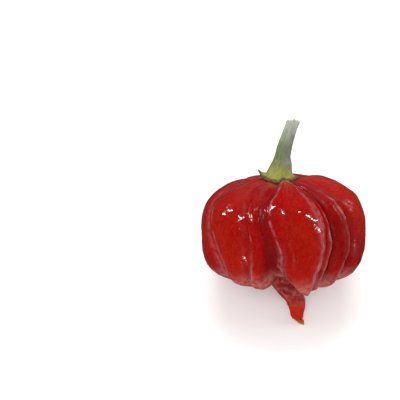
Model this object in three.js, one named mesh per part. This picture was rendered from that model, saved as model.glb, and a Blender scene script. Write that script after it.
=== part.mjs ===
// A fresh chilli pepper of the squat, deeply lobed kind, as picked: a red pod that ends in a hooked tail,
// and a green calyx that narrows into the cut stem. It lies as it comes to rest on a table, leaning back on
// two of its lobes and on the tip of its tail. Millimetres, +Z up, the table at z = 0.
import * as THREE from "three";

const DEG = Math.PI / 180;

// How the pod lies: turned back from upright about X, and where its middle then is.
const LEAN_BACK = -40 * DEG;
const MIDDLE_AT = [-0.44, -0.51, 16];

// The pod's side outline is a superellipse below its widest ring too, of this power.
const FOOT_POWER = 3.6;

// The hollow under the calyx and the one round the tail: where the lobes meet above and below the widest
// ring, how deep the hollow is there, the radius over which it fades out, over how many degrees of latitude
// the creases run out, and what share of their depth is left at the end.
const CROWN = { meet: 12.9, hollow: 1.1, radius: 7.5, runOut: 26, left: 0.22 };
const FOOT = { meet: 11.6, hollow: 2.7, radius: 10.0, runOut: 42, left: 0 };

// The tail grows off the pod's axis: how far right and back, eased in from one latitude to another.
const FOOT_OFFSET = { right: 0.9, back: -2.4, from: -30, to: -75 };

// Creases run from crown to tail. angle and depth are given at five latitudes of the side outline, crown to
// foot: degrees round the pod from its front, rightwards, and the share of the radius that the crease takes
// away. before and after are how steep the lobes on its two sides fall into it, from 1 for a slope to 2 for
// a wall.
const LATITUDES = [70, 35, 0, -35, -70];
const CREASES = [
  { angle: [-112, -108, -104, -102, -102], depth: [0.05, 0.08, 0.09, 0.11, 0.12], before: 1.6, after: 1.6 },
  { angle: [-84, -72, -58, -50, -66], depth: [0.03, 0.035, 0.02, 0.06, 0.08], before: 1.3, after: 1.2 },
  { angle: [-36, -29, -25, -27, -45], depth: [0.05, 0.05, 0.04, 0.06, 0.1], before: 1.2, after: 1.4 },
  { angle: [-5, -14, -6, -4, -12], depth: [0.08, 0.13, 0.15, 0.3, 0.45], before: 1.1, after: 1.0 },
  { angle: [-4, -13, -5, -1, 28], depth: [0.08, 0.13, 0.15, 0.3, 0.45], before: 1.0, after: 2.1 },
  { angle: [22, 32, 36, 31, 36], depth: [0.05, 0.07, 0.09, 0.1, 0.12], before: 2.0, after: 1.6 },
  { angle: [27, 36, 42, 36, 42], depth: [0.07, 0.13, 0.15, 0.15, 0.16], before: 1.7, after: 1.7 },
  { angle: [42, 54, 62, 53, 62], depth: [0.08, 0.12, 0.14, 0.14, 0.14], before: 2.0, after: 1.7 },
  { angle: [92, 103, 107, 104, 104], depth: [0.06, 0.1, 0.1, 0.11, 0.12], before: 1.7, after: 1.7 },
  { angle: [124, 125, 124, 122, 121], depth: [0.07, 0.1, 0.11, 0.13, 0.14], before: 1.7, after: 1.7 },
  { angle: [186, 183, 181, 180, 180], depth: [0.08, 0.1, 0.12, 0.14, 0.16], before: 1.8, after: 1.8 },
  { angle: [232, 234, 237, 239, 240], depth: [0.07, 0.1, 0.1, 0.12, 0.14], before: 1.7, after: 1.7 },
];

// Lobe k lies between crease k and the next one. radius is that of its crest at the widest ring, rise and
// drop are how far it reaches above and below that ring, shoulder is the power of its superellipse above
// the ring, crest is where its top lies between its creases, and columns is how many strips of faces it
// takes. A valley stays as deep as the creases on its two sides.
const LOBES = [
  { radius: 18.4, rise: 12.9, drop: 11.0, shoulder: 2.7, crest: 0.5, columns: 7 },
  { radius: 18.4, rise: 12.9, drop: 11.4, shoulder: 2.7, crest: 0.5, columns: 7 },
  { radius: 17.7, rise: 12.7, drop: 11.6, shoulder: 3.0, crest: 0.28, columns: 7 },
  { radius: 18.1, rise: 12.9, drop: 12.3, shoulder: 3.0, crest: 0.5, columns: 5, valley: true },
  { radius: 18.6, rise: 13.6, drop: 12.9, shoulder: 3.0, crest: 0.5, columns: 10 },
  { radius: 17.4, rise: 13.0, drop: 12.2, shoulder: 3.0, crest: 0.5, columns: 4 },
  { radius: 18.5, rise: 13.0, drop: 11.7, shoulder: 3.0, crest: 0.55, columns: 7 },
  { radius: 19.3, rise: 13.9, drop: 10.9, shoulder: 3.0, crest: 0.5, columns: 8 },
  { radius: 18.5, rise: 13.1, drop: 11.2, shoulder: 3.0, crest: 0.5, columns: 6 },
  { radius: 18.6, rise: 12.7, drop: 12.0, shoulder: 3.0, crest: 0.45, columns: 9 },
  { radius: 18.6, rise: 12.3, drop: 12.0, shoulder: 3.0, crest: 0.55, columns: 9 },
  { radius: 18.3, rise: 12.3, drop: 11.3, shoulder: 3.0, crest: 0.5, columns: 4 },
];
const LOBE_CREST_POWER = 2.3;

// The tail, in the upright pod's frame: stations along its middle line, each with its half width across the
// front and its half thickness from front to back.
const TAIL = [
  { at: [0.55, -2.4, -9.9], half: [3.7, 3.5] },
  { at: [0.5, -2.45, -10.5], half: [3.15, 3.0] },
  { at: [0.75, -2.45, -11.6], half: [2.85, 2.7] },
  { at: [1.85, -2.35, -13.3], half: [2.75, 2.35] },
  { at: [3.05, -2.2, -15.1], half: [2.5, 2.0] },
  { at: [3.6, -2.0, -16.8], half: [1.95, 1.7] },
  { at: [3.7, -1.75, -18.4], half: [1.6, 1.4] },
  { at: [3.85, -1.5, -19.8], half: [1.22, 1.1] },
  { at: [4.4, -1.3, -20.8], half: [0.8, 0.75] },
  { at: [4.9, -1.18, -21.4], half: [0.42, 0.4] },
];
const TAIL_TIP = [5.35, -1.08, -21.8];
// The station by which the tail's columns stand evenly round it.
const TAIL_EVENED_BY = 6;

// Rows of faces on the pod, crown to foot, and the angles at which they start and end on the side outline.
const CROWN_ROWS = 16;
const FOOT_ROWS = 15;
const CROWN_START = 84 * DEG;
const FOOT_END = -77 * DEG;

// The calyx lies over the crown, clear of it by a gap, and the stem stands on it. Its top slopes up from
// its edge.
const CALYX_CENTRE = [-0.4, 0];
const CALYX_GAP = 0.3;
const CALYX_RADIUS = 3.45;
const CALYX_EDGE = 0.55;
const CALYX_SLOPE = 0.16;
// Its teeth: direction in degrees, reach past the calyx's own radius, and how far the tip curls up off the
// pod.
const TEETH = [
  { angle: -92, reach: 1.3, curl: 1.0 },
  { angle: -50, reach: 0.8, curl: 0.1 },
  { angle: -13, reach: 2.4, curl: 0.0 },
  { angle: 24, reach: 0.35, curl: 0.0 },
  { angle: 60, reach: 1.7, curl: 0.1 },
  { angle: 128, reach: 1.1, curl: 0.3 },
  { angle: 196, reach: 1.2, curl: 0.2 },
];
const TOOTH_HALF_WIDTH = 27;
const TOOTH_POINT_POWER = 1.5;
const CURL_POWER = 6;
const CALYX_COLUMNS = 54;
// Its rings on the underside and on top, as shares of the way from its centre to its edge.
const CALYX_UNDER = [0.3, 0.55, 0.75, 0.9];
const CALYX_OVER = [0.93, 0.84];
// The latitudes among which the crown's height under the calyx is looked for, and how often they are
// halved.
const CROWN_SEARCH = { from: 20 * DEG, to: 90 * DEG, halvings: 40 };

// The stem, in the upright pod's frame: stations along its middle line with its half thickness there.
const STEM = [
  { at: [-0.4, 0.0, 13.9], half: 3.0 },
  { at: [-0.2, 0.0, 14.7], half: 2.7 },
  { at: [0.15, 0.05, 16.0], half: 2.35 },
  { at: [0.35, 0.2, 17.6], half: 1.85 },
  { at: [0.8, 0.6, 19.6], half: 1.7 },
  { at: [1.5, 1.2, 21.8], half: 1.55 },
  { at: [2.35, 2.1, 24.0], half: 1.48 },
  { at: [3.0, 3.0, 25.6], half: 1.5 },
];
const STEM_STEPS = 15;
const STEM_RIBS = 5;
const STEM_RIB_DEPTH = 0.06;
const CUT_BEVEL = 0.18;

const lerp = THREE.MathUtils.lerp;
const smooth = (x) => THREE.MathUtils.smoothstep(x, 0, 1);

// Reads a row of values given at the five latitudes, with a smooth curve through them.
function alongPod(values, latitude) {
  const last = LATITUDES[LATITUDES.length - 1];
  const share = THREE.MathUtils.inverseLerp(LATITUDES[0], last, latitude / DEG);
  const curve = new THREE.SplineCurve(values.map((value, i) => new THREE.Vector2(i, value)));
  return curve.getPoint(THREE.MathUtils.clamp(share, 0, 1)).y;
}

// The angle of crease k at a latitude; counting on past the last crease goes on round the pod.
function creaseAngle(k, latitude) {
  const turns = Math.floor(k / CREASES.length);
  return alongPod(CREASES[k - turns * CREASES.length].angle, latitude) * DEG + turns * 2 * Math.PI;
}

// How deep the wall of a lobe lies at share 0 to 1 of the way from its crease to its crest: 1 at the crease
// and 0 at the crest.
function wall(share, steepness) {
  return 1 - (1 - (1 - share) ** LOBE_CREST_POWER) ** (1 / steepness);
}

// One of the lobe's sizes, eased from crest to crest so that the pod changes gradually round its girth.
function sizeBetween(k, share, key) {
  const lobe = LOBES[k];
  const towards = share < lobe.crest ? k + LOBES.length - 1 : k + 1;
  const other = LOBES[towards % LOBES.length];
  const mine = share < lobe.crest ? lobe.crest - share : share - lobe.crest;
  const theirs = share < lobe.crest ? 1 - other.crest : other.crest;
  const span = (share < lobe.crest ? lobe.crest : 1 - lobe.crest) + theirs;
  return lerp(lobe[key], other[key], smooth(mine / span));
}

// A point of the pod's skin, upright: in lobe k, at share 0 to 1 between its creases, at a latitude.
function podPoint(k, share, latitude) {
  const angle = lerp(creaseAngle(k, latitude), creaseAngle(k + 1, latitude), share);
  const left = CREASES[k];
  const right = CREASES[(k + 1) % CREASES.length];
  const { crest, valley } = LOBES[k];
  const [nearer, across, steepness] =
    share < crest ? [left, share / crest, left.after] : [right, (1 - share) / (1 - crest), right.before];
  const sunk = alongPod(nearer.depth, latitude) * (valley ? 1 : wall(across, steepness));
  const end = latitude > 0 ? CROWN : FOOT;
  const fade = smooth((90 - Math.abs(latitude / DEG)) / end.runOut);
  const lobed = 1 - sunk * lerp(end.left, 1, fade);

  const power = latitude > 0 ? sizeBetween(k, share, "shoulder") : FOOT_POWER;
  const c = Math.cos(latitude);
  const s = Math.abs(Math.sin(latitude));
  const outline = (c ** power + s ** power) ** (-1 / power);
  const radius = sizeBetween(k, share, "radius") * c * outline * lobed;
  const tall = sizeBetween(k, share, latitude > 0 ? "rise" : "drop");
  const reach = lerp(end.meet, tall, fade) * s * outline * lobed;
  const dip = end.hollow * smooth(1 - radius / end.radius);
  const height = Math.sign(latitude) * (reach - dip);
  const shift = smooth((latitude / DEG - FOOT_OFFSET.from) / (FOOT_OFFSET.to - FOOT_OFFSET.from));
  const x = radius * Math.sin(angle) + FOOT_OFFSET.right * shift;
  const y = -radius * Math.cos(angle) + FOOT_OFFSET.back * shift;
  return new THREE.Vector3(x, y, height);
}

// Every column of the pod as [lobe, share], closer together beside the creases.
function podColumns() {
  return LOBES.flatMap(({ columns }, k) =>
    Array.from({ length: columns }, (_, i) => [k, 0.5 - 0.5 * Math.cos((Math.PI * i) / columns)]),
  );
}

// The rings of points from crown to foot.
function podRings(columns) {
  const latitudes = [];
  for (let i = 0; i < CROWN_ROWS; i++) latitudes.push(lerp(CROWN_START, 0, i / CROWN_ROWS));
  for (let i = 0; i <= FOOT_ROWS; i++) latitudes.push(lerp(0, FOOT_END, i / FOOT_ROWS));
  return latitudes.map((latitude) => columns.map(([k, share]) => podPoint(k, share, latitude)));
}

// The rings of the tail. Its columns start at the angles that they have at the pod's foot and soon stand
// evenly round it.
function tailRings(columns) {
  const footCrease = (k) => creaseAngle(k, FOOT_END);
  const atFoot = columns.map(([k, share]) => lerp(footCrease(k), footCrease(k + 1), share));
  return TAIL.map(({ at: [x, y, z], half: [across, deep] }, i) => {
    const evened = smooth((i + 1) / TAIL_EVENED_BY);
    return atFoot.map((angle, j) => {
      const a = lerp(angle, atFoot[0] + (2 * Math.PI * j) / columns.length, evened);
      return new THREE.Vector3(x + across * Math.sin(a), y - deep * Math.cos(a), z);
    });
  });
}

// Joins rings of equally many points, and a point at each end, into one closed skin that faces out.
function skin(first, rings, last) {
  const count = rings[0].length;
  const points = [first, ...rings.flat(), last];
  const index = [];
  const at = (row, column) => 1 + row * count + (column % count);
  for (let c = 0; c < count; c++) {
    index.push(0, at(0, c), at(0, c + 1));
    for (let r = 0; r + 1 < rings.length; r++) {
      index.push(at(r, c), at(r + 1, c), at(r + 1, c + 1));
      index.push(at(r, c), at(r + 1, c + 1), at(r, c + 1));
    }
    index.push(at(rings.length - 1, c), points.length - 1, at(rings.length - 1, c + 1));
  }
  const geometry = new THREE.BufferGeometry().setFromPoints(points);
  geometry.setIndex(index);
  return geometry;
}

// The whole pod with its tail.
function podGeometry() {
  const columns = podColumns();
  const rings = podRings(columns);
  const crown = new THREE.Vector3(0, 0, rings[0].reduce((sum, p) => sum + p.z, 0) / columns.length);
  rings.push(...tailRings(columns));
  return skin(crown, rings, new THREE.Vector3(...TAIL_TIP));
}

// The height of the pod's crown under a point, found by halving the range of latitudes.
function crownHeight(x, y) {
  const radius = Math.hypot(x, y);
  const firstCrease = creaseAngle(0, CROWN_START);
  const angle = THREE.MathUtils.euclideanModulo(Math.atan2(x, -y) - firstCrease, 2 * Math.PI) + firstCrease;
  let low = CROWN_SEARCH.from;
  let high = CROWN_SEARCH.to;
  let point = null;
  for (let i = 0; i < CROWN_SEARCH.halvings; i++) {
    const latitude = (low + high) / 2;
    let turned = angle;
    if (turned < creaseAngle(0, latitude)) turned += 2 * Math.PI;
    let k = 0;
    while (k + 1 < LOBES.length && turned >= creaseAngle(k + 1, latitude)) k++;
    const start = creaseAngle(k, latitude);
    const share = THREE.MathUtils.clamp((turned - start) / (creaseAngle(k + 1, latitude) - start), 0, 1);
    point = podPoint(k, share, latitude);
    if (Math.hypot(point.x, point.y) > radius) low = latitude;
    else high = latitude;
  }
  return point.z;
}

// How far a tooth shows in a direction: 1 at its tip, 0 beside it.
function toothShare(angle, tooth) {
  const off = Math.abs(THREE.MathUtils.euclideanModulo(angle / DEG - tooth.angle + 180, 360) - 180);
  return Math.max(0, 1 - off / TOOTH_HALF_WIDTH) ** TOOTH_POINT_POWER;
}

// How far the calyx reaches in a direction, and how far its edge curls up there.
function calyxEdge(angle) {
  return TEETH.reduce(
    (sum, tooth) => {
      const share = toothShare(angle, tooth);
      return { radius: sum.radius + tooth.reach * share, curl: sum.curl + tooth.curl * share };
    },
    { radius: CALYX_RADIUS, curl: 0 },
  );
}

// A ring of the calyx at a share of its edge's reach, lifted off the crown by the gap and a further height.
function calyxRing(angles, share, lift) {
  const [cx, cy] = CALYX_CENTRE;
  return angles.map((angle) => {
    const { radius, curl } = calyxEdge(angle);
    const x = cx + radius * share * Math.sin(angle);
    const y = cy - radius * share * Math.cos(angle);
    return new THREE.Vector3(x, y, crownHeight(x, y) + CALYX_GAP + lift + curl * share ** CURL_POWER);
  });
}

// The rings of the stem along its smooth middle line, slightly ribbed, and rounded over where it is cut.
function stemRings(angles) {
  const line = new THREE.CatmullRomCurve3(STEM.map(({ at }) => new THREE.Vector3(...at)));
  const stations = STEM.length - 1;
  const side = new THREE.Vector3(1, 0, 0);
  const rings = [];
  for (let i = 0; i <= STEM_STEPS; i++) {
    const t = i / STEM_STEPS;
    const station = Math.min(stations - 1, Math.floor(t * stations));
    const half = lerp(STEM[station].half, STEM[station + 1].half, t * stations - station);
    const middle = line.getPoint(t);
    const along = line.getTangent(t).lerp(new THREE.Vector3(0, 0, 1), 1 - t).normalize();
    const back = new THREE.Vector3().crossVectors(along, side).normalize();
    const right = new THREE.Vector3().crossVectors(back, along);
    const ring = (radius, up) =>
      angles.map((a) => {
        const ribbed = radius * (1 + STEM_RIB_DEPTH * t * Math.cos(STEM_RIBS * a));
        return middle
          .clone()
          .addScaledVector(right, ribbed * Math.sin(a))
          .addScaledVector(back, -ribbed * Math.cos(a))
          .addScaledVector(along, up);
      });
    rings.push(ring(half, 0));
    if (i === STEM_STEPS) rings.push(ring(half - CUT_BEVEL, CUT_BEVEL), ring(half / 2, CUT_BEVEL));
  }
  return rings;
}

// The calyx and the stem in one skin.
function stemGeometry() {
  const angles = Array.from({ length: CALYX_COLUMNS }, (_, i) => (2 * Math.PI * i) / CALYX_COLUMNS);
  const [cx, cy] = CALYX_CENTRE;
  const under = CALYX_UNDER.map((share) => calyxRing(angles, share, 0));
  const edge = [calyxRing(angles, 1, 0), calyxRing(angles, 1, CALYX_EDGE)];
  const over = CALYX_OVER.map((share, i) => calyxRing(angles, share, CALYX_EDGE + CALYX_SLOPE * (i + 1)));
  const stem = stemRings(angles);
  const seat = new THREE.Vector3(cx, cy, crownHeight(cx, cy) + CALYX_GAP);
  const cut = new THREE.Vector3();
  for (const point of stem[stem.length - 1]) cut.addScaledVector(point, 1 / angles.length);
  // The rings run from the seat out to the edge and up to the cut, and are reversed so that the skin faces out.
  return skin(cut, [...under, ...edge, ...over, ...stem].reverse(), seat);
}

// Turns a shape from upright to how it lies, and presses what would sink into the table flat onto it.
function layDown(geometry) {
  geometry.rotateX(LEAN_BACK).translate(...MIDDLE_AT);
  const position = geometry.getAttribute("position");
  for (let i = 0; i < position.count; i++) position.setZ(i, Math.max(0, position.getZ(i)));
  geometry.computeVertexNormals();
  return geometry;
}

// A named mesh of a shape, lying down, in a material of its own.
function piece(name, geometry, material) {
  const mesh = new THREE.Mesh(layDown(geometry), new THREE.MeshStandardMaterial(material));
  mesh.name = name;
  return mesh;
}

const pepper = new THREE.Group();
pepper.add(
  piece("pod", podGeometry(), { color: 0xb5180f, roughness: 0.28, metalness: 0 }),
  piece("calyx_and_stem", stemGeometry(), { color: 0x8b9648, roughness: 0.6, metalness: 0 }),
);

export default pepper;
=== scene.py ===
"""A fresh red chilli pepper, squat and deeply lobed, lying on a pale floor and seen from above its front."""

import logging
import math
from dataclasses import dataclass
from enum import Enum

import bpy
import numpy as np
from mathutils import Matrix, Vector, noise
from mathutils.bvhtree import BVHTree


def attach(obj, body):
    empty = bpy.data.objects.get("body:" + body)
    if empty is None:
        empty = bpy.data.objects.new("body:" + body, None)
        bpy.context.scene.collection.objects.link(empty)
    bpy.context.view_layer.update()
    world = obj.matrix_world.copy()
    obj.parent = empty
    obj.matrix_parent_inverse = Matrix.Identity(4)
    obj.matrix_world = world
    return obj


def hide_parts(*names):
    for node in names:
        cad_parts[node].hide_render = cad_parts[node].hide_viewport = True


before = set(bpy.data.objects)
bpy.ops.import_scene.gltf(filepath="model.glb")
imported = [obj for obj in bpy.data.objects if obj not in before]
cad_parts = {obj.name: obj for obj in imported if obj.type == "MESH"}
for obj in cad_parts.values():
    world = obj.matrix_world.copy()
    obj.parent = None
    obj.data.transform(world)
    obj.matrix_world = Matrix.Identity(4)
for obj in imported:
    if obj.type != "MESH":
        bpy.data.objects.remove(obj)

Array = np.ndarray
Numbers = np.ndarray | float
Pair = tuple[float, float]
Triple = tuple[float, float, float]
Socket = bpy.types.NodeSocket

LOG = logging.getLogger("pepper")
MM = 0.001
FULL_TURN = 2 * math.pi


def mm(*sizes: float) -> tuple[float, ...]:
    """Turns sizes in millimetres into metres."""
    return tuple(size * MM for size in sizes)


def smooth(share: Numbers) -> Array:
    """Eases a share of 0 to 1 in and out."""
    share = np.clip(share, 0, 1)
    return share * share * (3 - 2 * share)


def ease(value: Array, start: float, end: float) -> Array:
    """Eases from 0 where a value is at start to 1 where it is at end."""
    return smooth((value - start) / (end - start))


def lerp(start: Numbers, end: Numbers, share: Numbers) -> Array:
    """Goes from start to end by a share."""
    return start + (end - start) * share


def bell(distance: Array, width: float) -> Array:
    """A bell curve, 1 at no distance and nearly 0 past twice its width."""
    return np.exp(-((distance / width) ** 2))


def curve_through(rows: Array, at: Array) -> Array:
    """Reads a smooth curve that passes through rows of values.

    Args:
        rows: The values, one row for each station.
        at: Where to read, counted in stations.

    Returns:
        One row of values for each place read.
    """
    last = len(rows) - 1
    station = np.clip(np.floor(at).astype(int), 0, last - 1)
    share = (at - station).reshape(-1, *[1] * (rows.ndim - 1))
    before, start, end, after = (rows[np.clip(station + step, 0, last)] for step in (-1, 0, 1, 2))
    leave, arrive = (end - before) / 2, (after - start) / 2
    bend = 2 * start - 2 * end + leave + arrive
    return ((bend * share - (3 * start - 3 * end + 2 * leave + arrive)) * share + leave) * share + start


def unit(vectors: Array) -> Array:
    """Gives every row a length of 1."""
    return vectors / np.linalg.norm(vectors, axis=1)[:, None]


def values_of(items: tuple, key: str) -> Array:
    """Lists one field of many items."""
    return np.array([getattr(item, key) for item in items])


@dataclass(frozen=True)
class Waves:
    """Layered noise that shapes a skin.

    Args:
        size: The size of its largest waves.
        height: About how far it swings to either side.
        octaves: How many layers it has, each finer than the one before.
        shift: How far its pattern is moved, so that no two patterns are alike.
        squeeze: The share that places are shortened to along Z, which draws the waves out that way.
    """

    size: float
    height: float
    octaves: int = 2
    shift: float = 0.0
    squeeze: float = 1.0

    def at(self, places: Array) -> Array:
        """Reads the noise.

        Args:
            places: The places, one row for each.

        Returns:
            One value for each place.
        """
        scaled = (places * (1, 1, self.squeeze) + self.shift) / self.size
        return self.height * np.array([noise.fractal(Vector(row), 1.0, 2.0, self.octaves) for row in scaled])


@dataclass(frozen=True)
class Lie:
    """How the pepper lies: turned back from upright about X, and where the pod's middle then is."""

    lean_back: float = math.radians(-40)
    middle: Triple = mm(-0.44, -0.51, 16)

    def lay(self, places: Array) -> Array:
        """Takes places from the upright pod's frame to where they lie.

        Args:
            places: The places, one row for each.

        Returns:
            Where they lie.
        """
        turn = np.array(
            [
                [1, 0, 0],
                [0, math.cos(self.lean_back), -math.sin(self.lean_back)],
                [0, math.sin(self.lean_back), math.cos(self.lean_back)],
            ]
        )
        return places @ turn.T + self.middle

    def press(self, places: Array) -> Array:
        """Presses what would sink into the table flat onto it."""
        return np.column_stack([places[:, :2], np.maximum(0, places[:, 2])])


class Skin:
    """A closed skin of rings of points, grown from a sphere."""

    def __init__(self, name: str, rings: int, columns: int, radius: float) -> None:
        """Adds the sphere.

        Args:
            name: The piece's name.
            rings: How many rings of points it has between its two end points.
            columns: How many points each ring has.
            radius: The sphere's radius.
        """
        bpy.ops.object.select_all(action="DESELECT")
        bpy.ops.mesh.primitive_uv_sphere_add(segments=columns, ring_count=rings + 1, radius=radius)
        self.piece = bpy.context.object
        self.piece.name = name
        self.mesh = self.piece.data
        self.mesh.name = name
        sphere = self.places()
        turn = np.arctan2(sphere[:, 1], sphere[:, 0]) / FULL_TURN
        down = np.arccos(np.clip(sphere[:, 2] / radius, -1, 1)) / math.pi
        self.row = np.rint(down * (rings + 1)).astype(int)
        self.column = np.rint(turn * columns).astype(int) % columns
        self.rings = rings

    def read(self, points: bpy.types.bpy_prop_collection, key: str) -> Array:
        """Reads a vector of every point.

        Args:
            points: The mesh's collection of points or of their normals.
            key: The vector's name there.

        Returns:
            One row for each point.
        """
        flat = np.empty(len(points) * 3, np.float32)
        points.foreach_get(key, flat)
        return flat.reshape(-1, 3).astype(float)

    def places(self) -> Array:
        """The places of the skin's points."""
        return self.read(self.mesh.vertices, "co")

    def normals(self) -> Array:
        """The directions in which the skin faces at its points."""
        return self.read(self.mesh.vertex_normals, "vector")

    def spread(self, values: Array, first: Numbers, last: Numbers) -> Array:
        """Orders values given ring by ring as the skin's own points.

        Args:
            values: One value for each ring, or one value or vector for each of its points.
            first: The value at the first end point.
            last: The value at the last end point.

        Returns:
            One value for each of the skin's points.
        """
        inner = np.clip(self.row - 1, 0, self.rings - 1)
        ordered = values[inner] if values.ndim == 1 else values[inner, self.column]
        ordered[self.row == 0] = first
        ordered[self.row == self.rings + 1] = last
        return ordered

    def move(self, places: Array) -> None:
        """Moves the skin's points to their places."""
        self.mesh.vertices.foreach_set("co", places.astype(np.float32).ravel())
        self.mesh.update()

    def keep(self, **masks: Array) -> None:
        """Keeps attributes that the materials read.

        Args:
            masks: A value or a vector for each of the skin's points, by the attribute's name.
        """
        for name, values in masks.items():
            kind, key = ("FLOAT", "value") if values.ndim == 1 else ("FLOAT_VECTOR", "vector")
            attribute = self.mesh.attributes.new(name, kind, "POINT")
            attribute.data.foreach_set(key, values.astype(np.float32).ravel())

    def select(self) -> None:
        """Makes the skin the one selected object."""
        bpy.ops.object.select_all(action="DESELECT")
        bpy.context.view_layer.objects.active = self.piece
        self.piece.select_set(True)

    def relax(self, chosen: Array, rounds: int) -> None:
        """Smooths the chosen points in edit mode.

        Args:
            chosen: True for each point that may move.
            rounds: How often they are smoothed.
        """
        self.select()
        bpy.ops.object.mode_set(mode="EDIT")
        bpy.ops.mesh.select_mode(type="VERT")
        bpy.ops.mesh.select_all(action="DESELECT")
        bpy.ops.object.mode_set(mode="OBJECT")
        self.mesh.vertices.foreach_set("select", chosen)
        bpy.ops.object.mode_set(mode="EDIT")
        bpy.ops.mesh.vertices_smooth(factor=0.5, repeat=rounds)
        bpy.ops.object.mode_set(mode="OBJECT")

    def hand_over(self, material: bpy.types.Material, node: str) -> None:
        """Dresses the skin and gives it to the frame in a node's place.

        Args:
            material: Its material.
            node: The construction's node that it stands for.
        """
        self.select()
        bpy.ops.object.shade_smooth()
        self.mesh.materials.append(material)
        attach(self.piece, "root")
        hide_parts(node)
        LOG.info("%s: %d points, %d faces", self.piece.name, len(self.mesh.vertices), len(self.mesh.polygons))


@dataclass(frozen=True)
class Crease:
    """A crease from the pod's crown to its foot.

    Args:
        angle: Degrees round the pod from its front, rightwards, at each of the pod's latitudes.
        depth: The share of the radius that it takes away, at each of them.
        before: How steep the lobe before it falls into it, from 1 for a slope to 2 for a wall.
        after: The same for the lobe after it.
        lip_before: How far the lip on the lobe before it stands up, as a share of the tallest lip; the lip
            carries a painted highlight, and the same share sets the painted sheen beside the crease.
        lip_after: The same for the lobe after it.
        soft: How far up the lobes its bottom is rounded, as a share of the way to their crests.
    """

    angle: tuple[float, ...]
    depth: tuple[float, ...]
    before: float
    after: float
    lip_before: float = 0.0
    lip_after: float = 0.0
    soft: float = 0.03


@dataclass(frozen=True)
class Lobe:
    """A lobe between a crease and the next one.

    Args:
        radius: The radius of its crest at the pod's widest ring.
        rise: How far it reaches above that ring.
        drop: How far it reaches below it.
        shoulder: The power of its superellipse above the ring.
        crest: Where its top lies between its creases.
        columns: How many strips of faces it takes.
        ripe_above: How orange its upper half is, from 0 for the deepest red to 1.
        ripe_below: How orange its lower half is.
        valley: Whether it stays as deep as the creases on its two sides.
        dull: How far its gloss is lost, from 0 to 1.
    """

    radius: float
    rise: float
    drop: float
    shoulder: float
    crest: float
    columns: int
    ripe_above: float
    ripe_below: float
    valley: bool = False
    dull: float = 0.0


@dataclass(frozen=True)
class Hollow:
    """The hollow at an end of the pod, where its creases run out.

    Args:
        meet: How far above or below the widest ring the lobes meet.
        depth: How deep the hollow is there.
        radius: The radius over which it fades out.
        run_out: Over how many degrees of latitude the creases run out.
        left: What share of their depth is left at the end.
    """

    meet: float
    depth: float
    radius: float
    run_out: float
    left: float


@dataclass(frozen=True)
class TailStation:
    """A place along the tail's middle line, with its half width across the front and from front to back."""

    at: Triple
    half: Pair


@dataclass(frozen=True)
class Growth:
    """What is known of every point of the pod's skin.

    Args:
        upright: Its place on the upright pod.
        sunk: What share of the radius it is sunk by.
        lip: How far a lip raises it, as a share of the tallest lip.
        latitude: Its latitude, which on the tail is that of the foot's end.
        tail: How far along the tail it is, from 0 to 1.
        lobe: Its lobe.
        share: Where it lies between its lobe's creases.
    """

    upright: Array
    sunk: Array
    lip: Array
    latitude: Array
    tail: Array
    lobe: Array
    share: Array


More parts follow.
